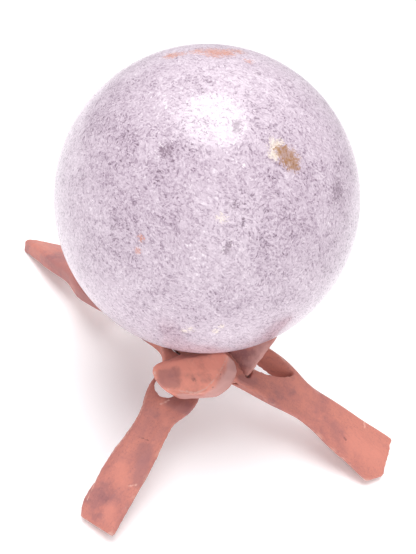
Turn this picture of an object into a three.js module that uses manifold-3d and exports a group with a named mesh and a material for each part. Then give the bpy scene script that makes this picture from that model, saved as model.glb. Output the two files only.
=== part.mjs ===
// A polished stone ball resting on a stand of three carved wooden legs.
// Each leg has an eye cut through it, and the head of each leg rises through the eye of the next.
// Millimetres, +Z up.

import * as THREE from 'three';
import { mergeVertices } from 'three/addons/utils/BufferGeometryUtils.js';
import Module from 'manifold-3d';

const wasm = await Module();
wasm.setup();

// The ball.
const ballRadius = 40;
const ballHeight = 67;
const ballDetail = 10;
const ballColour = 0xb9a9bd;

// What the three legs share.
const woodColour = 0xb2614f;
const legThickness = 5.6;
const edgeChamfer = 0.9;
const chamferLimit = 0.6;
const facetAlong = 0.4;
const eyeDepth = 28;
const neckGap = 5;

// Where the path of a leg bends between foot and eye, as a fraction.
const kneeAlong = 0.46;

// How the outline of a leg runs on: full width at the shoulders of its eye, and a rounded tip.
const shoulderAlong = 0.7;
const tipBlunt = 0.93;
const headFullAlong = 0.6;

// How finely a leg is worked.
const stations = 44;
const tipStations = 6;
const pathSamples = 400;
const eyeSegments = 6;

// The ground that the feet are cut level with.
const groundSize = 400;
const groundDepth = 40;

// Clearances between pieces that rest on each other.
const seatGap = 0.3;
const trimGap = 0.45;

// Where the head of one leg passes through the eye of the next.
const crossings = {
  front: new THREE.Vector3(7.4, -20, 21.1),
  right: new THREE.Vector3(17, -6, 22),
  back: new THREE.Vector3(-11, 2, 22),
};

// One entry a leg: where its foot, brow and tip are, the eyes its path runs through, and how it is carved.
// Halves are the widths of its broad face to the left and to the right of the path, from foot to tip.
// Unders are how far the underside stays inside that face, to the left and to the right.
// A slot leans to the right as it rises.
// Bows and shifts are to the right, and twists are in radians, raising the right edge where positive.
const legs = [
  {
    name: 'leg_front', foot: [-2.8, -58.7], brow: [18.2, -3.2, 28.8], tip: [19.2, -0.6, 35.5],
    eye: 'front', through: 'right', footHeight: 0.9, kneeHeight: 11.5, kneeBow: 0,
    dipAlong: 0.75, dip: -8, dipShift: 0, eyeStart: -10.4, eyeEnd: 9, slotInset: 0,
    slotShift: -2, slotSides: [3.7, 3.4], slotSwell: 1.25, slotLean: 0,
    halves: {
      foot: [6.2, 6.6], shin: [6.1, 6.6], neck: [4.8, 5.6], outer: [6.4, 8.6], inner: [7, 7],
      waist: [7, 6.4], throat: [10, 11.5], head: [11, 12.4],
    },
    unders: { body: [2.8, 2.8], head: [0, 0] }, thickness: { eye: 5.6, throat: 5.6, head: 6.4 },
    twists: { foot: 0.24, eye: 0, head: 0 }, tipRound: 1.5, footCorner: { along: 3.2, across: 1.8 },
  },
  {
    name: 'leg_right', foot: [76, -11.6], brow: [-19, 5, 29], tip: [-27, 8, 35],
    eye: 'right', through: 'back', footHeight: 1.5, kneeHeight: 12.5, kneeBow: 0,
    dipAlong: 0.55, dip: -1.5, dipShift: 0, eyeStart: -26, eyeEnd: 11, slotInset: 3,
    slotShift: 5, slotSides: [11, 0.8], slotSwell: 0.25, slotLean: 0.45,
    halves: {
      foot: [10.4, 9.2], shin: [9.2, 7.6], neck: [7.2, 6.6], outer: [8.8, 9.2], inner: [10, 9.2],
      waist: [6.6, 7], throat: [5.8, 5.8], head: [8.5, 8.5],
    },
    unders: { body: [3, 0], head: [0, 0] }, thickness: { eye: 9, throat: 5.6, head: 8 },
    twists: { foot: 0.26, eye: 0.15, head: 0 }, tipRound: 5, footCorner: { along: 5, across: 5 },
  },
  {
    name: 'leg_back', foot: [-60, 44.8], brow: [8.5, -22.4, 30.8], tip: [11.6, -30.5, 26.4],
    eye: 'back', through: 'front', footHeight: 0.6, kneeHeight: 12, kneeBow: 3,
    dipAlong: 0.55, dip: -0.5, dipShift: -5, eyeStart: -30, eyeEnd: 8, slotInset: 9,
    slotShift: -1, slotSides: [4.5, 4.5], slotSwell: 1.25, slotLean: 0,
    halves: {
      foot: [6.6, 7.3], shin: [6.2, 6.4], neck: [5.3, 5.3], outer: [10, 8.6], inner: [10, 7.2],
      waist: [8, 5.6], throat: [7.4, 5.3], head: [10, 11.4],
    },
    unders: { body: [0, 0], head: [-2.6, 0.5] }, thickness: { eye: 5.6, throat: 7.6, head: 6.4 },
    twists: { foot: 0.22, eye: -0.2, head: -0.38 }, tipRound: 9, footCorner: { along: 5.5, across: 10.5 },
  },
];

function toSolid(geometry) {
  const bare = geometry.clone();
  bare.deleteAttribute('normal');
  bare.deleteAttribute('uv');
  const merged = mergeVertices(bare, 1e-4);
  return new wasm.Manifold(new wasm.Mesh({
    numProp: 3,
    vertProperties: new Float32Array(merged.attributes.position.array),
    triVerts: new Uint32Array(merged.index.array),
  }));
}

function toGeometry(solid) {
  const mesh = solid.getMesh();
  const geometry = new THREE.BufferGeometry();
  geometry.setAttribute('position', new THREE.BufferAttribute(mesh.vertProperties, 3));
  geometry.setIndex(new THREE.BufferAttribute(mesh.triVerts, 1));
  geometry.computeVertexNormals();
  return geometry;
}

// A value that eases from one named station to the next.
function eased(table, x) {
  const next = table.findIndex(([at]) => at >= x);
  if (next === 0) return table[0][1];
  if (next < 0) return table[table.length - 1][1];
  const [fromAt, from] = table[next - 1];
  const [toAt, to] = table[next];
  return THREE.MathUtils.lerp(from, to, THREE.MathUtils.smoothstep(x, fromAt, toAt));
}

// The centre line of a leg: up from the foot, level through its own eye, down a little and up to the tip.
function legPath(leg) {
  const eye = crossings[leg.eye];
  const through = crossings[leg.through];
  const foot = new THREE.Vector3(leg.foot[0], leg.foot[1], leg.footHeight);
  const knee = foot.clone().lerp(eye, kneeAlong).setZ(leg.kneeHeight);
  const shin = eye.clone().sub(foot).setZ(0).normalize();
  knee.addScaledVector(new THREE.Vector3(shin.y, -shin.x, 0), leg.kneeBow);
  const dip = eye.clone().lerp(through, leg.dipAlong);
  const throat = through.clone().sub(eye).setZ(0).normalize();
  dip.addScaledVector(new THREE.Vector3(throat.y, -throat.x, 0), leg.dipShift);
  dip.z += leg.dip;
  const brow = new THREE.Vector3(...leg.brow);
  const tip = new THREE.Vector3(...leg.tip);
  return new THREE.CatmullRomCurve3([foot, knee, eye, dip, through, brow, tip], false, 'centripetal');
}

// The distance along the path at which it passes closest to a point.
function distanceTo(path, point) {
  const samples = path.getSpacedPoints(pathSamples);
  const gaps = samples.map((sample) => sample.distanceTo(point));
  return (gaps.indexOf(Math.min(...gaps)) / pathSamples) * path.getLength();
}

function measured(leg) {
  const path = legPath(leg);
  const length = path.getLength();
  const eyeAt = distanceTo(path, crossings[leg.eye]);
  const throughAt = distanceTo(path, crossings[leg.through]);
  const neckAt = eyeAt + leg.eyeStart - neckGap;
  const fullAt = length - leg.tipRound * headFullAlong;
  const innerAt = eyeAt + leg.eyeEnd * shoulderAlong;
  const { foot, shin, neck, outer, inner, waist, throat, head } = leg.halves;
  const halfTable = (side) => [[0, foot[side]], [neckAt * 0.5, shin[side]], [neckAt, neck[side]],
    [eyeAt + leg.eyeStart * shoulderAlong, outer[side]], [innerAt, inner[side]],
    [(innerAt + throughAt) / 2, waist[side]], [throughAt, throat[side]], [fullAt, head[side]]];
  const underTable = (side) => [[throughAt, leg.unders.body[side]], [fullAt, leg.unders.head[side]]];
  return {
    ...leg, path, length, eyeAt, throughAt,
    halfTables: [halfTable(0), halfTable(1)],
    underTables: [underTable(0), underTable(1)],
    twistTable: [[0, leg.twists.foot], [eyeAt, leg.twists.eye], [length, leg.twists.head]],
    thicknessTable: [[neckAt, legThickness], [eyeAt, leg.thickness.eye],
      [throughAt, leg.thickness.throat], [length, leg.thickness.head]],
  };
}

// The leg's own directions at a distance along it: along, to the right, and out of its broad face.
function legFrame(leg, distance) {
  const along = leg.path.getTangentAt(distance / leg.length);
  const level = new THREE.Vector3().crossVectors(along, new THREE.Vector3(0, 0, 1)).normalize();
  const upright = new THREE.Vector3().crossVectors(level, along);
  const twist = eased(leg.twistTable, distance);
  const right = level.clone().multiplyScalar(Math.cos(twist)).addScaledVector(upright, Math.sin(twist));
  const face = upright.clone().multiplyScalar(Math.cos(twist)).addScaledVector(level, -Math.sin(twist));
  return { centre: leg.path.getPointAt(distance / leg.length), along, right, face };
}

// Stations along the leg, closer together where the tip is rounded.
function stationDistances(leg) {
  const straight = leg.length - leg.tipRound;
  const body = Array.from({ length: stations }, (_, i) => (i / stations) * straight);
  const tip = Array.from({ length: tipStations + 1 }, (_, i) => (
    straight + leg.tipRound * Math.sin((i / tipStations) * Math.PI * 0.5)));
  return [...body, ...tip];
}

// The leg's cross-section, as steps to the right and out of the face: a plank with chamfered edges,
// whose underside ends inside its face by the undercuts.
function section([left, right], [underLeft, underRight], half) {
  const cut = Math.min(edgeChamfer, half * chamferLimit);
  const middle = (right - left) / 3;
  const leftBelow = left - underLeft;
  const rightBelow = right - underRight;
  return [
    [rightBelow, -half + cut], [right, half - cut], [right - cut, half], [middle, half],
    [-left * facetAlong, half], [-left + cut, half], [-left, half - cut], [-leftBelow, -half + cut],
    [-leftBelow + cut, -half], [-leftBelow * facetAlong, -half], [middle, -half], [rightBelow - cut, -half],
  ];
}

// The whole leg before its eye is cut, made larger all round by grow.
function sweptLeg(leg, grow) {
  const positions = [];
  const indices = [];
  const distances = stationDistances(leg);
  let ring = 0;
  for (const distance of distances) {
    const { centre, right: across, face } = legFrame(leg, distance);
    const intoTip = Math.max(0, (distance - leg.length + leg.tipRound) / leg.tipRound);
    const taper = Math.sqrt(1 - (tipBlunt * intoTip) ** 2);
    const corner = leg.footCorner.across * (1 - Math.min(1, distance / leg.footCorner.along));
    const [left, right] = leg.halfTables.map((table) => eased(table, distance) * taper + grow);
    const unders = leg.underTables.map((table) => eased(table, distance));
    const outline = section([left - corner, right], unders, eased(leg.thicknessTable, distance) / 2 + grow);
    ring = outline.length;
    for (const [aside, out] of outline) {
      const point = centre.clone().addScaledVector(across, aside).addScaledVector(face, out);
      positions.push(point.x, point.y, point.z);
    }
  }
  const last = (distances.length - 1) * ring;
  for (let start = 0; start < last; start += ring) {
    for (let k = 0; k < ring; k += 1) {
      const a = start + k;
      const b = start + ((k + 1) % ring);
      indices.push(a, a + ring, b, b, a + ring, b + ring);
    }
  }
  for (let k = 1; k < ring - 1; k += 1) {
    indices.push(0, k, k + 1, last, last + k + 1, last + k);
  }
  const geometry = new THREE.BufferGeometry();
  geometry.setAttribute('position', new THREE.Float32BufferAttribute(positions, 3));
  geometry.setIndex(indices);
  return geometry;
}

// The eye: a slot with rounded ends through the broad face.
function eyeCutter(leg) {
  const from = legFrame(leg, leg.eyeAt + leg.eyeStart + leg.slotInset).centre;
  const to = legFrame(leg, leg.eyeAt + leg.eyeEnd).centre;
  const { face } = legFrame(leg, leg.eyeAt + (leg.eyeStart + leg.slotInset + leg.eyeEnd) / 2);
  const along = to.clone().sub(from);
  const end = along.length() / 2;
  along.normalize();
  const right = new THREE.Vector3().crossVectors(along, face).normalize();
  const out = new THREE.Vector3().crossVectors(right, along);
  out.addScaledVector(right, leg.slotLean);
  const [toLeft, toRight] = leg.slotSides;
  const leftSwell = toLeft * leg.slotSwell;
  const rightSwell = toRight * leg.slotSwell;
  const shape = new THREE.Shape();
  shape.moveTo(0, -end);
  shape.bezierCurveTo(rightSwell, -end, toRight, -end * 0.5, toRight, 0);
  shape.bezierCurveTo(toRight, end * 0.5, rightSwell, end, 0, end);
  shape.bezierCurveTo(-leftSwell, end, -toLeft, end * 0.5, -toLeft, 0);
  shape.bezierCurveTo(-toLeft, -end * 0.5, -leftSwell, -end, 0, -end);
  const cut = { depth: eyeDepth, bevelEnabled: false, curveSegments: eyeSegments };
  const slot = new THREE.ExtrudeGeometry(shape, cut);
  slot.translate(0, 0, -eyeDepth / 2);
  const middle = from.add(to).multiplyScalar(0.5).addScaledVector(right, leg.slotShift);
  slot.applyMatrix4(new THREE.Matrix4().makeBasis(right, along, out).setPosition(middle));
  return slot;
}

const specs = legs.map(measured);
const seat = new THREE.IcosahedronGeometry(ballRadius + seatGap, ballDetail);
seat.translate(0, 0, ballHeight);
const seatSolid = toSolid(seat);
const ground = new THREE.BoxGeometry(groundSize, groundSize, groundDepth);
ground.translate(0, 0, -groundDepth / 2);
const groundSolid = toSolid(ground);

// A leg with its eye opened, cleared for the head that comes through it, hollowed for the ball
// and cut flat where it stands.
function carvedLeg(spec) {
  const comer = specs.find((other) => other.through === spec.eye);
  return toSolid(sweptLeg(spec, 0))
    .subtract(toSolid(eyeCutter(spec)))
    .subtract(toSolid(sweptLeg(comer, trimGap)))
    .subtract(seatSolid)
    .subtract(groundSolid);
}

const object = new THREE.Group();

const ballGeometry = new THREE.IcosahedronGeometry(ballRadius, ballDetail);
ballGeometry.translate(0, 0, ballHeight);
const ballMaterial = new THREE.MeshStandardMaterial({ color: ballColour, roughness: 0.12, metalness: 0 });
const ball = new THREE.Mesh(toGeometry(toSolid(ballGeometry)), ballMaterial);
ball.name = 'ball';
object.add(ball);

for (const spec of specs) {
  const material = new THREE.MeshStandardMaterial({ color: woodColour, roughness: 0.7, metalness: 0 });
  const mesh = new THREE.Mesh(toGeometry(carvedLeg(spec)), material);
  mesh.name = spec.name;
  object.add(mesh);
}

// The origin is on the ground, under the middle of the whole object.
const extent = new THREE.Box3().setFromObject(object);
const middle = extent.getCenter(new THREE.Vector3());
object.position.set(-middle.x, -middle.y, -extent.min.z);

export default object;
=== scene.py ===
import math

import bmesh
import bpy
import numpy as np
from mathutils import Matrix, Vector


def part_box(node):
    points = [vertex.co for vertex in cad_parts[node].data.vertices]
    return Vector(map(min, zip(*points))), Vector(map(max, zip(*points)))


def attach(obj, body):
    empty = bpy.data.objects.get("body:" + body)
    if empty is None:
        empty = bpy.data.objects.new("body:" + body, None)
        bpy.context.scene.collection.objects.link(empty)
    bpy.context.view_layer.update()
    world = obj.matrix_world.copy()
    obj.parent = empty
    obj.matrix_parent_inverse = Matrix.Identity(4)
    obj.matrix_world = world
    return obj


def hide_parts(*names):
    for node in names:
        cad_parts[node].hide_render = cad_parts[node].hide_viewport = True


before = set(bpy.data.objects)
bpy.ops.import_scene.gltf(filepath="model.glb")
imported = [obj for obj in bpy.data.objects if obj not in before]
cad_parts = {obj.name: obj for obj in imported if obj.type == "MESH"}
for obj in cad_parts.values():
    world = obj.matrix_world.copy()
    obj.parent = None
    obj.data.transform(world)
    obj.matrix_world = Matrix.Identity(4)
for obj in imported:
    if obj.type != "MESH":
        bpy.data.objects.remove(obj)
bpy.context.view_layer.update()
print("frame loaded:", ", ".join(sorted(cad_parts)))

mm = 0.001

# Where the ball is, from its node: the middle of its box, and the radius that stays inside that box.
ballLow, ballHigh = (np.array(corner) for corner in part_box("ball"))
ballCentre = (ballLow + ballHigh) / 2
ballRadius = float(np.min(ballHigh - ballLow)) / 2


# Camera

cameraFacts = {
    "fromAxis": (0.0060, -0.1402, 0.1480),  # from the foot of the ball's axis, in metres
    "pitchDown": 36.7,  # degrees below the horizon
    "roll": 17.0,  # degrees, the right side of the picture lifted
    "focalPixels": 600.0,
    "frameSize": (416, 554),
    "sensor": 36.0,
    "clip": (0.005, 20.0),  # metres
}


def cameraAxes():
    pitch, roll = (math.radians(cameraFacts[key]) for key in ("pitchDown", "roll"))
    level = np.array([1.0, 0.0, 0.0])
    upright = np.array([0.0, math.sin(pitch), math.cos(pitch)])
    forward = np.array([0.0, math.cos(pitch), -math.sin(pitch)])
    right = level * math.cos(roll) + upright * math.sin(roll)
    up = upright * math.cos(roll) - level * math.sin(roll)
    return right, up, forward


# A pose from its three directions and its place.
def placed(side, up, back, place):
    pose = np.eye(4)
    pose[:3] = np.stack([side, up, back, place], axis=-1)
    return Matrix(pose.tolist())


def cameraPlace():
    return np.array([ballCentre[0], ballCentre[1], 0.0]) + np.array(cameraFacts["fromAxis"])


def makeCamera():
    right, up, forward = cameraAxes()
    place = cameraPlace()
    data = bpy.data.cameras.new("photoCamera")
    data.sensor_width = cameraFacts["sensor"]
    data.lens = cameraFacts["focalPixels"] / max(cameraFacts["frameSize"]) * cameraFacts["sensor"]
    data.clip_start, data.clip_end = cameraFacts["clip"]
    camera = bpy.data.objects.new("photoCamera", data)
    bpy.context.scene.collection.objects.link(camera)
    camera.matrix_world = placed(right, up, -forward, place)
    bpy.context.scene.camera = camera
    print("camera at", np.round(place / mm, 1), "mm")


# The point of the ball that a picture point shows: the nearer root of ray and sphere.
def castOnBall(across, down):
    right, up, forward = cameraAxes()
    width, height = cameraFacts["frameSize"]
    focal = cameraFacts["focalPixels"]
    ray = forward + right * (across - width / 2) / focal - up * (down - height / 2) / focal
    ray /= np.linalg.norm(ray)
    toCentre = ballCentre - cameraPlace()
    middle = toCentre @ ray
    inside = max(0.0, ballRadius ** 2 - (toCentre @ toCentre - middle ** 2))
    return cameraPlace() + ray * (middle - math.sqrt(inside))


# Where points in millimetres show in the picture.
def toPicture(points):
    right, up, forward = cameraAxes()
    width, height = cameraFacts["frameSize"]
    ray = points * mm - cameraPlace()
    scale = cameraFacts["focalPixels"] / (ray @ forward)
    return np.stack([width / 2 + (ray @ right) * scale, height / 2 - (ray @ up) * scale], axis=-1)


# Node helpers

def fromScreen(red, green, blue):
    parts = np.array([red, green, blue]) / 255.0
    linear = np.where(parts <= 0.04045, parts / 12.92, ((parts + 0.055) / 1.055) ** 2.4)
    return (*linear.tolist(), 1.0)


def put(tree, kind, values=None, **settings):
    node = tree.nodes.new(kind)
    for key, value in settings.items():
        setattr(node, key, value)
    for key, value in (values or {}).items():
        feed(tree, value, node.inputs[key])
    return node


def feed(tree, value, socket):
    if isinstance(value, bpy.types.NodeSocket):
        tree.links.new(value, socket)
    else:
        socket.default_value = value


def calc(tree, operation, first, second=0.0):
    return put(tree, "ShaderNodeMath", {0: first, 1: second}, operation=operation).outputs[0]


def share(tree, value, part):
    return calc(tree, "MULTIPLY", value, part)


# A noise about one half, turned into a swing about nothing of the given size.
def swing(tree, value, size):
    return share(tree, calc(tree, "SUBTRACT", value, 0.5), size)


def steps(tree, value, low, high):
    node = put(tree, "ShaderNodeMapRange", {"Value": value, "From Min": low, "From Max": high},
               interpolation_type="SMOOTHSTEP")
    return node.outputs["Result"]


def mixColours(tree, factor, first, second):
    return put(tree, "ShaderNodeMix", {0: factor, 6: first, 7: second}, data_type="RGBA").outputs[2]


def ramp(tree, value, stops):
    node = put(tree, "ShaderNodeValToRGB", {"Fac": value})
    elements = node.color_ramp.elements
    while len(elements) < len(stops):
        elements.new(0.5)
    for element, (place, colour) in zip(elements, stops):
        element.position = place
        element.color = colour
    return node.outputs["Color"]


def noise(tree, vector, scale, detail=3.0, distortion=0.0):
    node = put(tree, "ShaderNodeTexNoise",
               {"Vector": vector, "Scale": scale, "Detail": detail, "Distortion": distortion})
    return node.outputs[0]


def attribute(tree, name, output="Fac"):
    return put(tree, "ShaderNodeAttribute", attribute_name=name).outputs[output]


def stretch(tree, vector, factors):
    node = put(tree, "ShaderNodeVectorMath", {0: vector, 1: factors}, operation="MULTIPLY")
    return node.outputs[0]


def newGroup(name, inputs, outputs):
    tree = bpy.data.node_groups.new(name, "ShaderNodeTree")
    for label, kind, value in inputs:
        socket = tree.interface.new_socket(name=label, in_out="INPUT", socket_type=kind)
        if value is not None:
            socket.default_value = value
    for label, kind in outputs:
        tree.interface.new_socket(name=label, in_out="OUTPUT", socket_type=kind)
    return tree, put(tree, "NodeGroupInput").outputs, put(tree, "NodeGroupOutput").inputs


def useGroup(tree, group, values):
    node = put(tree, "ShaderNodeGroup", node_tree=group)
    for key, value in values.items():
        feed(tree, value, node.inputs[key])
    return node.outputs


def newMaterial(name):
    material = bpy.data.materials.new(name)
    material.use_nodes = True
    tree = material.node_tree
    return material, tree, tree.nodes["Principled BSDF"].inputs


# Soft clouds of one value: broad noise with a finer one laid over it, about a middle of one half.
def makeCloudGroup():
    tree, given, made = newGroup(
        "softClouds",
        [("Vector", "NodeSocketVector", None), ("Size", "NodeSocketFloat", 10.0),
         ("Fine", "NodeSocketFloat", 0.35)],
        [("Value", "NodeSocketFloat")])
    perSize = calc(tree, "DIVIDE", 1.0, given["Size"])
    broad = noise(tree, given["Vector"], perSize, 3.0, 0.4)
    fine = noise(tree, given["Vector"], share(tree, perSize, 4.3), 3.0)
    feed(tree, calc(tree, "ADD", broad, swing(tree, fine, given["Fine"])), made["Value"])
    return tree


# Stone flakes: cells drawn long, each patch of them turned its own way, with one random tone a flake.
def makeFlakeGroup():
    tree, given, made = newGroup(
        "micaFlakes",
        [("Vector", "NodeSocketVector", None), ("Size", "NodeSocketFloat", 1.0),
         ("Patch", "NodeSocketFloat", 3.0)],
        [("Tone", "NodeSocketFloat"), ("Other", "NodeSocketFloat")])
    patch = put(tree, "ShaderNodeTexVoronoi",
                {"Vector": given["Vector"], "Scale": calc(tree, "DIVIDE", 1.0, given["Patch"])})
    axis = put(tree, "ShaderNodeVectorMath", {0: patch.outputs["Color"], 1: (0.5, 0.5, 0.5)},
               operation="SUBTRACT").outputs[0]
    parts = put(tree, "ShaderNodeSeparateColor", {0: patch.outputs["Color"]}).outputs
    turned = put(tree, "ShaderNodeVectorRotate",
                 {"Vector": given["Vector"], "Axis": axis, "Angle": share(tree, parts[1], 6.28)},
                 rotation_type="AXIS_ANGLE").outputs[0]
    longCells = stretch(tree, turned, (0.42, 1.25, 0.9))
    flakes = put(tree, "ShaderNodeTexVoronoi",
                 {"Vector": longCells, "Scale": calc(tree, "DIVIDE", 1.0, given["Size"])})
    tones = put(tree, "ShaderNodeSeparateColor", {0: flakes.outputs["Color"]}).outputs
    feed(tree, tones[0], made["Tone"])
    feed(tree, tones[1], made["Other"])
    return tree


# Wood grain in a leg's own directions: long streaks, and short dark pores along them.
def makeGrainGroup():
    tree, given, made = newGroup(
        "legGrain",
        [("Vector", "NodeSocketVector", None)],
        [("Streaks", "NodeSocketFloat"), ("Pores", "NodeSocketFloat")])
    streaks = noise(tree, stretch(tree, given["Vector"], (0.07, 1.0, 1.0)), 1.1, 4.0, 0.3)
    pores = noise(tree, stretch(tree, given["Vector"], (0.35, 3.2, 3.2)), 1.0, 2.0)
    feed(tree, streaks, made["Streaks"])
    feed(tree, steps(tree, pores, 0.62, 0.74), made["Pores"])
    return tree


# Rubbed edges: the edge measure broken up by a fine noise.
def makeRubGroup():
    tree, given, made = newGroup(
        "rubbedEdges",
        [("Edge", "NodeSocketFloat", 0.0), ("Vector", "NodeSocketVector", None),
         ("Amount", "NodeSocketFloat", 0.5)],
        [("Mask", "NodeSocketFloat")])
    breakUp = noise(tree, given["Vector"], 0.4, 4.0)
    broken = calc(tree, "ADD", given["Edge"], swing(tree, breakUp, 1.5))
    feed(tree, share(tree, steps(tree, broken, 0.6, 1.1), given["Amount"]), made["Mask"])
    return tree


cloudGroup = makeCloudGroup()
flakeGroup = makeFlakeGroup()
grainGroup = makeGrainGroup()
rubGroup = makeRubGroup()
print("shared finishes ready")


# Ball

ballFacts = {
    "columns": 420,
    "rows": 208,
    "flake": 0.44,  # mm, the larger flakes
    "flakePatch": 2.6,  # mm, a patch of flakes that lie one way
    "flakeShare": 0.4,
    "fineFlake": 0.26,
    "finePatch": 1.5,
    "fineShare": 0.34,
    "cloud": 10.0,  # mm across
    "cloudShare": 0.55,
    "lift": 0.1,  # added to the tone all over
    "roughness": 0.26,
    "roughnessSpread": 0.12,
    "ior": 1.54,
    "coat": 0.35,
    "coatRoughness": 0.03,
    "coatIor": 1.5,
    "goldSink": 0.10,  # mm, softer stone polishes lower
    "rustSink": 0.05,
    # inclusions in the stone, each mark: picture point (x, y), radius in mm, strength
    "marks": {
        "gold": [(284, 153, 1.6, 1.0), (290, 159, 2.0, 1.0), (295, 165, 1.3, 0.9), (279, 150, 1.3, 0.8),
                 (296, 156, 0.9, 0.7)],
        "cream": [(275, 145, 1.3, 1.0), (274, 155, 1.1, 1.0), (281, 143, 0.9, 0.8), (222, 217, 1.2, 0.6),
                  (190, 329, 1.0, 0.8), (184, 331, 0.8, 0.7), (221, 326, 0.7, 0.8), (216, 331, 0.9, 0.8)],
        "rust": [(172, 55, 1.7, 0.9), (181, 54, 1.4, 0.7), (200, 51, 2.2, 0.7), (215, 52, 2.6, 0.9),
                 (225, 52, 2.2, 0.9), (237, 51, 2.0, 0.7), (249, 61, 1.3, 0.6), (141, 238, 0.7, 0.9),
                 (138, 251, 0.7, 0.9)],
        "dark": [(238, 124, 1.0, 0.9), (237, 129, 0.9, 0.9), (258, 74, 0.6, 0.9), (338, 190, 2.2, 0.8),
                 (334, 200, 1.6, 0.6), (165, 150, 1.6, 0.8), (167, 146, 1.2, 0.6), (235, 205, 0.9, 0.8),
                 (229, 245, 0.8, 0.9), (226, 251, 0.8, 0.9), (113, 228, 0.7, 0.8), (112, 236, 0.7, 0.8),
                 (204, 247, 0.6, 0.7), (83, 178, 1.6, 0.5), (90, 125, 2.2, 0.4), (252, 82, 1.4, 0.4)],
    },
}


# How strongly a set of marks lies on each point: a rounded fall-off about each mark's centre.
def markField(points, marks):
    field = np.zeros(len(points))
    for across, down, radius, strength in marks:
        gap = np.linalg.norm(points - castOnBall(across, down), axis=1) / (radius * mm)
        field = np.maximum(field, strength * np.exp(-0.5 * gap ** 2))
    return field


# A sphere as a grid of turns and tilts, with one point at each pole.
def makeBall(facts):
    columns, rows = facts["columns"], facts["rows"]
    turn = np.linspace(0, 2 * math.pi, columns, endpoint=False)[None, :]
    tilt = np.linspace(0, math.pi, rows + 1)[1:-1, None]
    grid = np.stack([np.sin(tilt) * np.cos(turn), np.sin(tilt) * np.sin(turn),
                     np.cos(tilt) * np.ones_like(turn)], axis=-1)
    outward = np.vstack([grid.reshape(-1, 3), [[0, 0, 1], [0, 0, -1]]])
    points = ballCentre + outward * ballRadius
    index = np.arange((rows - 1) * columns).reshape(rows - 1, columns)
    nextOver = np.roll(index, -1, axis=1)
    quads = np.stack([index[:-1], index[1:], nextOver[1:], nextOver[:-1]], axis=-1).reshape(-1, 4)
    top, bottom = index.size, index.size + 1
    capTop = np.stack([np.full(columns, top), index[0], nextOver[0]], axis=-1)
    capBottom = np.stack([np.full(columns, bottom), nextOver[-1], index[-1]], axis=-1)
    fields = {name: markField(points, marks) for name, marks in facts["marks"].items()}
    sink = facts["goldSink"] * fields["gold"] + facts["rustSink"] * fields["rust"]
    points = points - outward * sink[:, None] * mm
    mesh = bpy.data.meshes.new("stoneBall")
    mesh.from_pydata(points.tolist(), [], quads.tolist() + capTop.tolist() + capBottom.tolist())
    mesh.polygons.foreach_set("use_smooth", np.ones(len(mesh.polygons), bool))
    for name, field in fields.items():
        mesh.attributes.new(name, "FLOAT", "POINT").data.foreach_set("value", field.astype(np.float32))
    ball = bpy.data.objects.new("stone_ball", mesh)
    bpy.context.scene.collection.objects.link(ball)
    return ball


def makeStone(facts):
    material, tree, shader = newMaterial("lilacStone")
    coords = put(tree, "ShaderNodeTexCoord").outputs["Object"]
    inMm = put(tree, "ShaderNodeMapping", {
        "Vector": coords,
        "Location": tuple(-ballCentre / mm),
        "Scale": (1 / mm, 1 / mm, 1 / mm)}).outputs[0]
    large, small = (
        useGroup(tree, flakeGroup, {"Vector": inMm, "Size": facts[size], "Patch": facts[patch]})
        for size, patch in (("flake", "flakePatch"), ("fineFlake", "finePatch")))
    cloud = useGroup(tree, cloudGroup, {"Vector": inMm, "Size": facts["cloud"], "Fine": 0.5})["Value"]
    tone = calc(tree, "ADD", share(tree, large["Tone"], facts["flakeShare"]),
                share(tree, small["Tone"], facts["fineShare"]))
    tone = calc(tree, "ADD", tone, swing(tree, cloud, facts["cloudShare"]))
    colour = ramp(tree, calc(tree, "ADD", tone, facts["lift"]), [
        (0.08, fromScreen(114, 92, 109)),
        (0.22, fromScreen(154, 135, 151)),
        (0.42, fromScreen(185, 168, 182)),
        (0.66, fromScreen(200, 185, 197)),
        (0.86, fromScreen(217, 206, 214)),
        (0.99, fromScreen(250, 245, 248))])
    ragged = swing(tree, small["Other"], 0.55)
    tints = [
        ("dark", fromScreen(112, 88, 106), 0.85),
        ("rust", fromScreen(190, 120, 92), 0.9),
        ("cream", fromScreen(240, 228, 206), 0.7),
        ("gold", fromScreen(150, 106, 62), 1.0)]
    for name, tint, part in tints:
        field = calc(tree, "ADD", attribute(tree, name), ragged)
        mask = share(tree, steps(tree, field, 0.42, 0.7), part)
        mottled = mixColours(tree, share(tree, large["Other"], 0.45), tint, colour)
        colour = mixColours(tree, mask, colour, mottled)
    feed(tree, colour, shader["Base Color"])
    shine = calc(tree, "ADD", share(tree, small["Other"], facts["roughnessSpread"]), facts["roughness"])
    feed(tree, shine, shader["Roughness"])
    shader["IOR"].default_value = facts["ior"]
    shader["Coat Weight"].default_value = facts["coat"]
    shader["Coat Roughness"].default_value = facts["coatRoughness"]
    shader["Coat IOR"].default_value = facts["coatIor"]
    return material


# Legs

legFacts = {
    "voxel": 0.42,  # mm
    "smoothing": 4,
    "edgeReach": 6,  # smoothing rounds that an edge is measured against
    "edgeFull": 0.14,  # mm of height at which an edge counts as fully rubbed
    "cutWidth": 5.2,  # mm, knife cuts across the leg
    "cutLength": 19.0,
    "cutDepth": 0.2,
    "stepDepth": 0.12,
    "sideCuts": 0.4,  # depth of the cuts on the sides over that on the top
    "sideCrowding": 1.6,  # cuts on the sides lie this much closer
    "nicks": 7,
    "nickRadius": 0.8,
    "nickDepth": 0.22,
    "nickAbove": 4.0,  # mm above the ground
    "footFlat": 0.1,  # mm above the ground, below which nothing is carved
    "footGuard": 0.6,  # mm over which the carving comes in above that
}


def columnsOf(collection, name, width):
    values = np.zeros(len(collection) * width, np.float32 if name != "vertices" else np.int32)
    collection.foreach_get(name, values)
    return values.reshape(-1, width).astype(float if name != "vertices" else int)


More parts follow.
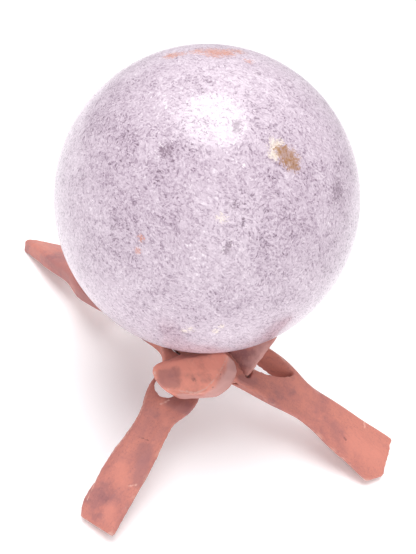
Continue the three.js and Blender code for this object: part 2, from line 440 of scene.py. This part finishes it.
# A copy of the node with its loose triangles merged, drawn again as small even squares.
def remeshed(node, facts):
    mesh = node.data.copy()
    work = bmesh.new()
    work.from_mesh(mesh)
    bmesh.ops.remove_doubles(work, verts=work.verts, dist=0.002 * mm)
    work.to_mesh(mesh)
    work.free()
    rough = bpy.data.objects.new("rough", mesh)
    bpy.context.scene.collection.objects.link(rough)
    modifier = rough.modifiers.new("squares", "REMESH")
    modifier.mode = "VOXEL"
    modifier.voxel_size = facts["voxel"] * mm
    graph = bpy.context.evaluated_depsgraph_get()
    fine = bpy.data.meshes.new_from_object(rough.evaluated_get(graph))
    bpy.data.objects.remove(rough)
    bpy.data.meshes.remove(mesh)
    fine.materials.clear()
    return fine


# One round of smoothing moves each point a share of the way to the mean of its neighbours.
def relaxed(points, edges, rounds, share):
    count = len(points)
    ends = np.concatenate([edges, edges[:, ::-1]])
    degree = np.bincount(ends[:, 0], minlength=count)[:, None]
    for _ in range(rounds):
        sums = np.stack([np.bincount(ends[:, 0], points[ends[:, 1], k], count) for k in range(3)], axis=-1)
        points = points + share * (sums / degree - points)
    return points


# The leg's own directions: along its length in plan, across it, and up.
def legAxes(points):
    flat = points[:, :2] - points[:, :2].mean(axis=0)
    _, _, turn = np.linalg.svd(flat, full_matrices=False)
    along = np.array([turn[0, 0], turn[0, 1], 0.0])
    across = np.array([-along[1], along[0], 0.0])
    return np.stack([along, across, [0.0, 0.0, 1.0]])


# A knife cut's hollow: zero at its two borders and one in its middle.
def hollow(position):
    part = position - np.floor(position)
    return 4 * part * (1 - part)


# Depth of the knife cuts: long hollows side by side with wandering borders, each cut again along its length.
def knifeCuts(grain, across, phase, facts):
    along = grain[:, 0]
    wander = 1.3 * np.sin(along / 8.7 + phase) + 0.7 * np.sin(along / 3.9 + 2.1 * phase)
    lane = (across + wander) / facts["cutWidth"] + phase
    shift = np.mod(np.sin(np.floor(lane) * 12.9898 + phase) * 437.585, 1.0)
    length = along / facts["cutLength"] + shift
    return facts["cutDepth"] * hollow(lane) + facts["stepDepth"] * hollow(length)


# How strongly a set of strokes lies on each point that faces the viewer, by its distance in the picture
# from the stroke's line over the stroke's half width.
def strokeField(points, normals, strokes):
    toward = cameraPlace() - points * mm
    toward /= np.linalg.norm(toward, axis=1)[:, None]
    facing = np.clip(4 * np.sum(normals * toward, axis=1), 0, 1)
    picture = toPicture(points)
    field = np.zeros(len(points))
    for fromAcross, fromDown, toAcross, toDown, half, strength in strokes:
        start = np.array([fromAcross, fromDown], float)
        run = np.array([toAcross, toDown], float) - start
        part = np.clip((picture - start) @ run / max(run @ run, 1e-9), 0, 1)
        gap = np.linalg.norm(picture - start - part[:, None] * run, axis=1) / half
        field = np.maximum(field, strength * np.exp(-gap ** 2))
    return field * facing


# Strokes of each leg as picture lines (x, y to x, y), half width in picture points and strength:
# warm and mauve patches of the stain, painted light on the lit face of the back leg's head, painted shade in
# mauve along that leg's shin beneath the ball, dusty sides, pale scuffs and dark specks.
legMarks = {
    "leg_front": {
        "warm": [(122, 464, 121, 480, 8, 0.9), (110, 508, 107, 518, 7, 1.0), (163, 411, 166, 422, 6, 0.9)],
        "mauve": [(144, 450, 140, 480, 10, 0.9), (172, 402, 190, 410, 8, 1.0), (148, 418, 142, 436, 8, 0.5)],
        "dusty": [(252, 362, 264, 350, 12, 0.75)],
        "scuff": [(129, 486, 136, 485, 1.2, 0.9), (161, 404, 169, 400, 1.5, 0.9),
                  (146, 396, 140, 414, 1.0, 0.7), (140, 414, 127, 434, 1.0, 0.6),
                  (127, 434, 104, 463, 1.0, 0.6), (104, 463, 87, 500, 1.0, 0.7)],
        "speck": [(140, 437, 149, 441, 0.9, 0.8)],
    },
    "leg_right": {
        "warm": [(296, 384, 306, 394, 10, 0.7), (352, 442, 376, 456, 12, 0.9), (312, 412, 320, 420, 7, 0.6)],
        "mauve": [(242, 379, 254, 382, 6, 0.9), (334, 426, 342, 450, 8, 0.6), (272, 386, 280, 392, 7, 0.5)],
        "dusty": [(302, 376, 320, 393, 3, 0.6)],
        "scuff": [(364, 421, 365, 427, 1.1, 1.0)],
        "speck": [(344, 437, 346, 440, 1.2, 0.9), (338, 432, 339, 433, 1.0, 0.6)],
    },
    "leg_back": {
        # painted light: the lit face of the head drawn in a lighter colour
        "paintedLight": [(160, 368, 224, 360, 16, 1.0), (168, 384, 208, 384, 14, 1.0),
                   (222, 362, 206, 380, 10, 1.0)],
        "mauve": [(164, 375, 174, 374, 8, 1.0), (164, 382, 175, 382, 8, 1.0), (204, 380, 208, 378, 7, 0.55),
                  # these three strokes along the shin beneath the ball are painted shade, drawn in mauve
                  (84, 292, 110, 318, 14, 1.0), (58, 266, 84, 292, 11, 0.8), (110, 318, 140, 342, 12, 1.0)],
        "dusty": [(238, 350, 230, 374, 7, 1.0), (230, 374, 220, 390, 7, 1.0), (220, 390, 206, 399, 6, 1.0),
                  (206, 399, 180, 397, 4, 1.0)],
        "scuff": [(227, 357, 221, 370, 0.9, 0.8), (221, 370, 213, 381, 0.9, 0.8),
                  (213, 381, 205, 389, 1.0, 0.9), (205, 389, 195, 393, 1.1, 1.0),
                  (195, 393, 182, 391, 1.1, 1.0), (182, 391, 168, 389, 1.0, 0.8)],
        "speck": [(193, 378, 195, 381, 2.2, 0.6), (212, 388, 213, 387, 1.0, 0.8),
                  (220, 375, 221, 374, 0.9, 0.8)],
    },
}


def makeLeg(name, phase, facts):
    mesh = remeshed(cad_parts[name], facts)
    points = columnsOf(mesh.vertices, "co", 3) / mm
    edges = columnsOf(mesh.edges, "vertices", 2)
    points = relaxed(points, edges, facts["smoothing"], 0.5)
    mesh.vertices.foreach_set("co", (points * mm).astype(np.float32).ravel())
    mesh.update()
    normals = columnsOf(mesh.vertex_normals, "vector", 3)
    axes = legAxes(points)
    grain = (points - points.mean(axis=0)) @ axes.T
    facing = (normals @ axes.T) ** 2
    height = np.sum((points - relaxed(points, edges, facts["edgeReach"], 0.6)) * normals, axis=1)
    edge = np.clip(height / facts["edgeFull"], 0, 1)
    # how deep a point lies in a hollow, used below for painted shade together with dirt
    hollowShadeAndDirt = np.clip(-height / facts["edgeFull"], 0, 1)
    depth = facing[:, 2] * knifeCuts(grain, grain[:, 1], phase, facts)
    sideways = knifeCuts(grain, facts["sideCrowding"] * grain[:, 2], phase + 1.7, facts)
    depth += facts["sideCuts"] * (1 - facing[:, 2]) * sideways
    dice = np.random.default_rng(int(phase * 1000) + 11)
    sharp = np.flatnonzero((edge > 0.7) & (points[:, 2] > facts["nickAbove"]))
    nick = np.zeros(len(points))
    for place in dice.choice(sharp, facts["nicks"], replace=False):
        radius = facts["nickRadius"] * dice.uniform(0.5, 1.2)
        gap = np.linalg.norm(points - points[place], axis=1) / radius
        nick = np.maximum(nick, np.exp(-gap ** 2))
    depth += facts["nickDepth"] * nick
    guard = np.clip((points[:, 2] - facts["footFlat"]) / facts["footGuard"], 0, 1)
    points = points - normals * (depth * guard)[:, None]
    points[:, 2] = np.maximum(points[:, 2], 0.0)
    mesh.vertices.foreach_set("co", (points * mm).astype(np.float32).ravel())
    mesh.polygons.foreach_set("use_smooth", np.ones(len(mesh.polygons), bool))
    fields = {"edge": edge, "hollowShadeAndDirt": hollowShadeAndDirt, "nick": nick}
    fields |= {label: strokeField(points, normals, strokes) for label, strokes in legMarks[name].items()}
    for label, field in fields.items():
        mesh.attributes.new(label, "FLOAT", "POINT").data.foreach_set("value", field.astype(np.float32))
    layer = mesh.attributes.new("grain", "FLOAT_VECTOR", "POINT")
    layer.data.foreach_set("vector", grain.astype(np.float32).ravel())
    mesh.update()
    leg = bpy.data.objects.new("carved_" + name, mesh)
    bpy.context.scene.collection.objects.link(leg)
    print(name, "carved,", len(mesh.polygons), "faces")
    return leg


stainFacts = {
    "brown": fromScreen(146, 95, 95),
    "salmon": fromScreen(180, 113, 103),
    "orange": fromScreen(194, 122, 107),
    "warm": fromScreen(204, 129, 113),
    # painted light: the lighter colour of the back leg's lit head
    "paintedLight": fromScreen(236, 154, 134),
    "dusty": fromScreen(190, 142, 136),
    # mauve patches of the stain, and painted shade along the back leg's shin
    "mauve": fromScreen(148, 97, 97),
    "pale": fromScreen(218, 176, 162),
    "deep": fromScreen(92, 55, 58),
    "blotch": 15.0,  # mm
    "mottle": 4.0,
    "mottleShare": 0.35,
    "darkDust": 0.35,
    "lightDust": 0.3,
    "streaks": 0.3,
    "pores": 0.35,
    "hollowShadeAndDirtShare": 0.5,
    "rubbed": 0.5,
    "chips": 0.5,
    # each stain, and the painted light and painted shade among them: its strokes, its colour, its share, and
    # where its border begins and ends
    "stainsAndPaintedLight": [("warm", "warm", 0.7, 0.1, 1.1), ("paintedLight", "paintedLight", 0.9, 0.1, 1.1),
               ("mauve", "mauve", 0.55, 0.3, 0.8), ("dusty", "dusty", 0.85, 0.2, 0.8)],
    # each wear mark: its strokes, its colour and its share
    "wear": [("scuff", "pale", 0.6), ("speck", "deep", 0.6)],
    "roughness": 0.5,
    "roughnessSpread": 0.2,
    "bumpStrength": 0.25,
    "bumpDepth": 0.15,  # mm
}


def makeWood(name, offset, warmth, facts):
    material, tree, shader = newMaterial(name)
    grain = attribute(tree, "grain", "Vector")
    moved = put(tree, "ShaderNodeVectorMath", {0: grain, 1: offset}, operation="ADD").outputs[0]
    blotch = useGroup(tree, cloudGroup, {"Vector": moved, "Size": facts["blotch"], "Fine": 0.4})["Value"]
    mottle = useGroup(tree, cloudGroup, {"Vector": moved, "Size": facts["mottle"], "Fine": 0.5})["Value"]
    lines = useGroup(tree, grainGroup, {"Vector": moved})
    value = calc(tree, "ADD", blotch, swing(tree, mottle, facts["mottleShare"]))
    colour = ramp(tree, calc(tree, "ADD", value, warmth), [
        (0.28, facts["brown"]), (0.47, facts["salmon"]), (0.7, facts["orange"])])
    dust = noise(tree, moved, 1.9, 4.0)
    layers = [
        (share(tree, steps(tree, dust, 0.5, 0.72), facts["darkDust"]), "brown"),
        (share(tree, steps(tree, dust, 0.46, 0.28), facts["lightDust"]), "warm"),
        (share(tree, steps(tree, lines["Streaks"], 0.45, 0.8), facts["streaks"]), "brown"),
        (share(tree, lines["Pores"], facts["pores"]), "deep"),
        # darker in hollows and creases: painted shade together with dirt
        (share(tree, attribute(tree, "hollowShadeAndDirt"), facts["hollowShadeAndDirtShare"]), "deep")]
    ragged = swing(tree, mottle, 0.9)
    # the stains, with painted light on the back leg's head and painted shade along its shin
    for label, tint, part, low, high in facts["stainsAndPaintedLight"]:
        field = calc(tree, "ADD", attribute(tree, label), ragged)
        layers.append((share(tree, steps(tree, field, low, high), part), tint))
    rubbed = {"Edge": attribute(tree, "edge"), "Vector": moved, "Amount": facts["rubbed"]}
    layers.append((useGroup(tree, rubGroup, rubbed)["Mask"], "pale"))
    flecks = swing(tree, noise(tree, moved, 1.3, 3.0), 1.8)
    for label, tint, part in facts["wear"]:
        field = calc(tree, "ADD", attribute(tree, label), flecks)
        within = steps(tree, attribute(tree, label), 0.05, 0.4)
        layers.append((share(tree, share(tree, steps(tree, field, 0.3, 0.9), part), within), tint))
    layers.append((share(tree, steps(tree, attribute(tree, "nick"), 0.45, 0.8), facts["chips"]), "pale"))
    for mask, tint in layers:
        colour = mixColours(tree, mask, colour, facts[tint])
    feed(tree, colour, shader["Base Color"])
    shine = calc(tree, "ADD", share(tree, mottle, facts["roughnessSpread"]), facts["roughness"])
    feed(tree, shine, shader["Roughness"])
    relief = calc(tree, "SUBTRACT", lines["Streaks"], lines["Pores"])
    bump = put(tree, "ShaderNodeBump", {
        "Height": relief, "Strength": facts["bumpStrength"], "Distance": facts["bumpDepth"] * mm})
    feed(tree, bump.outputs[0], shader["Normal"])
    return material


# Floor and light

stageFacts = {
    "floorFlat": 1.6,  # metres from the middle to where the floor begins to rise
    "coveRadius": 1.0,
    "coveHeight": 3.0,
    "coveColumns": 96,
    "coveSteps": 16,
    "floorColour": fromScreen(250, 249, 250),
    "lights": [
        # name, place in metres, aimed at the ball, size in metres, watts
        ("overhead", (-0.05, 0.30, 1.15), 1.7, 9.0),
        ("upperLeft", (-0.18, -0.05, 1.08), 0.8, 9.0),
        ("frontFill", (0.45, -1.00, 0.45), 1.0, 4.2),
    ],
    "floorRoughness": 0.9,
    "floorSpecular": 0.1,
    "floorGlow": 0.14,  # a light table's own glow
    "worldColour": (0.97, 0.97, 1.0, 1.0),
    "worldStrength": 0.1,
}


# The floor as a dish: flat, then a quarter circle up to a plain wall, turned about the middle.
def makeFloor(facts):
    bend = np.linspace(0, math.pi / 2, facts["coveSteps"])
    wallReach = facts["floorFlat"] + facts["coveRadius"]
    reach = np.append(facts["floorFlat"] + facts["coveRadius"] * np.sin(bend), wallReach)
    rise = np.append(facts["coveRadius"] * (1 - np.cos(bend)), facts["coveHeight"])
    turn = np.linspace(0, 2 * math.pi, facts["coveColumns"], endpoint=False)
    ring = np.stack([np.cos(turn), np.sin(turn)], axis=-1)
    heights = np.broadcast_to(rise[:, None, None], (len(rise), len(turn), 1))
    grid = np.concatenate([reach[:, None, None] * ring, heights], axis=-1)
    index = np.arange(grid.shape[0] * len(turn)).reshape(-1, len(turn))
    nextOver = np.roll(index, -1, axis=1)
    walls = np.stack([index[:-1], index[1:], nextOver[1:], nextOver[:-1]], axis=-1).reshape(-1, 4)
    mesh = bpy.data.meshes.new("floor")
    mesh.from_pydata(grid.reshape(-1, 3).tolist(), [], [index[0].tolist()] + walls.tolist())
    mesh.polygons.foreach_set("use_smooth", np.ones(len(mesh.polygons), bool))
    floor = bpy.data.objects.new("floor", mesh)
    bpy.context.scene.collection.objects.link(floor)
    material, _, shader = newMaterial("paleFloor")
    shader["Base Color"].default_value = facts["floorColour"]
    shader["Roughness"].default_value = facts["floorRoughness"]
    shader["Specular IOR Level"].default_value = facts["floorSpecular"]
    shader["Emission Color"].default_value = facts["floorColour"]
    shader["Emission Strength"].default_value = facts["floorGlow"]
    mesh.materials.append(material)


# Round soft lights, each turned to face the ball, and a faint even light from all around.
def makeLights(facts):
    for name, place, size, watts in facts["lights"]:
        data = bpy.data.lights.new(name, "AREA")
        data.shape = "DISK"
        data.size = size
        data.energy = watts
        light = bpy.data.objects.new(name, data)
        bpy.context.scene.collection.objects.link(light)
        aim = np.array(place) - ballCentre
        back = aim / np.linalg.norm(aim)
        side = np.cross([0.0, 1.0, 0.0], back)
        side /= np.linalg.norm(side)
        light.matrix_world = placed(side, np.cross(back, side), back, place)
    world = bpy.data.worlds.new("softRoom")
    world.use_nodes = True
    background = world.node_tree.nodes["Background"].inputs
    background["Color"].default_value = facts["worldColour"]
    background["Strength"].default_value = facts["worldStrength"]
    bpy.context.scene.world = world
    bpy.context.scene.view_settings.view_transform = "Standard"
    print("stage set")


makeCamera()
makeFloor(stageFacts)
makeLights(stageFacts)

ball = makeBall(ballFacts)
ball.data.materials.append(makeStone(ballFacts))
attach(ball, "root")
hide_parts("ball")
print("ball made,", len(ball.data.polygons), "faces")

legFinishes = {
    # phase of the carving, where in the timber the blotches lie, and warmth of the stain
    "leg_front": (0.4, (3.0, 11.0, 5.0), -0.02),
    "leg_right": (1.3, (41.0, -7.0, 2.0), 0.05),
    "leg_back": (2.2, (-23.0, 19.0, 8.0), 0.0),
}
for name, (phase, offset, warmth) in legFinishes.items():
    leg = makeLeg(name, phase, legFacts)
    leg.data.materials.append(makeWood("stain_" + name, offset, warmth, stainFacts))
    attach(leg, "root")
    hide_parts(name)
